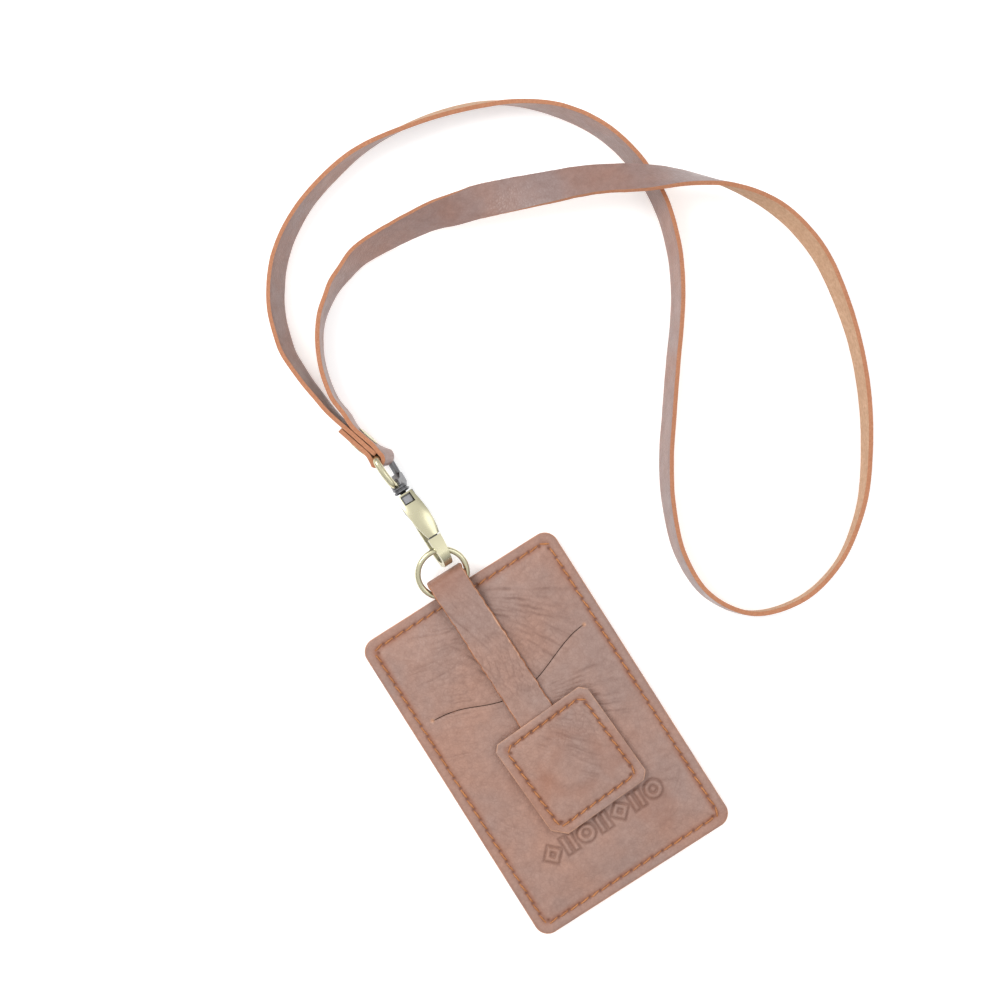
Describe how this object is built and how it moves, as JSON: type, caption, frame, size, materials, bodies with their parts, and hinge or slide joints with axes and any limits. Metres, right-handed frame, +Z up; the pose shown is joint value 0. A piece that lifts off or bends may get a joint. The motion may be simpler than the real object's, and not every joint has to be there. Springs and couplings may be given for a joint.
{
  "type": "card holder",
  "caption": "Leather card holder with a curved card slit, a magnetic closure tab, an O-ring and a swivel clasp on a flat leather lanyard.",
  "frame": {"origin": "on the table, under the middle of the holder and clasp taken together, the lanyard left out", "axes": "+X to the right seen from the front, +Y from the holder towards the clasp, +Z up out of the front panel"},
  "size_m": [0.1944, 0.2462, 0.0208],
  "materials": {
    "leather": "pebbled grain, semi-matt",
    "lining": "thin split leather, matt",
    "thread": "waxed thread",
    "brass": "antique, satin",
    "steel": "plain",
    "film": "clear, glossy"
  },
  "bodies": {
    "lanyard": {"lanyard_strap": "leather", "rivet_cap_front": "brass", "rivet_cap_back": "brass"},
    "eye": {"swivel_eye": "brass", "swivel_rivet": "steel"},
    "hook": {"hook_body": "brass", "gate_pin": "steel", "gate_spring": "steel"},
    "gate": {"gate_lever": "brass"},
    "ring": {"o_ring": "brass"},
    "holder": {"back_panel": "leather", "window_film": "film", "front_lining": "lining", "front_panel": "leather", "holder_magnet": "steel", "border_thread": "thread", "tab_strap_rear": "leather"},
    "flap": {"tab_strap_front": "leather", "patch_front": "leather", "patch_back": "leather", "flap_magnet": "steel", "patch_thread": "thread"}
  },
  "joints": [
    {"name": "eye_turn", "type": "hinge", "parent": "lanyard", "child": "eye", "pos_m": [0.0024, 0.07815, 0.0086], "axis": [-0.2588, 0, 0.9659], "range_deg": [-35, 12]},
    {"name": "swivel", "type": "hinge", "parent": "eye", "child": "hook", "pos_m": [0.0024, 0.0645, 0.0086], "axis": [0, 1, 0], "continuous": true},
    {"name": "gate_swing", "type": "hinge", "parent": "hook", "child": "gate", "pos_m": [0.00271, 0.05735, 0.01017], "axis": [0.9816, 0, -0.1908], "range_deg": [0, 20], "stiffness_Nm_per_rad": 0.01, "springref_deg": -20.05},
    {"name": "ring_swing", "type": "hinge", "parent": "hook", "child": "ring", "pos_m": [0.0024, 0.04345, 0.01002], "axis": [1, 0, 0], "range_deg": [-25, 10]},
    {"name": "holder_swing", "type": "hinge", "parent": "ring", "child": "holder", "pos_m": [-0.0007, 0.02925, 0.00485], "axis": [1, 0, 0], "range_deg": [-6, 18]},
    {"name": "flap_open", "type": "hinge", "parent": "holder", "child": "flap", "pos_m": [-0.0006, 0.03295, 0.00515], "axis": [1, 0, 0], "range_deg": [-75, 0]}
  ]
}
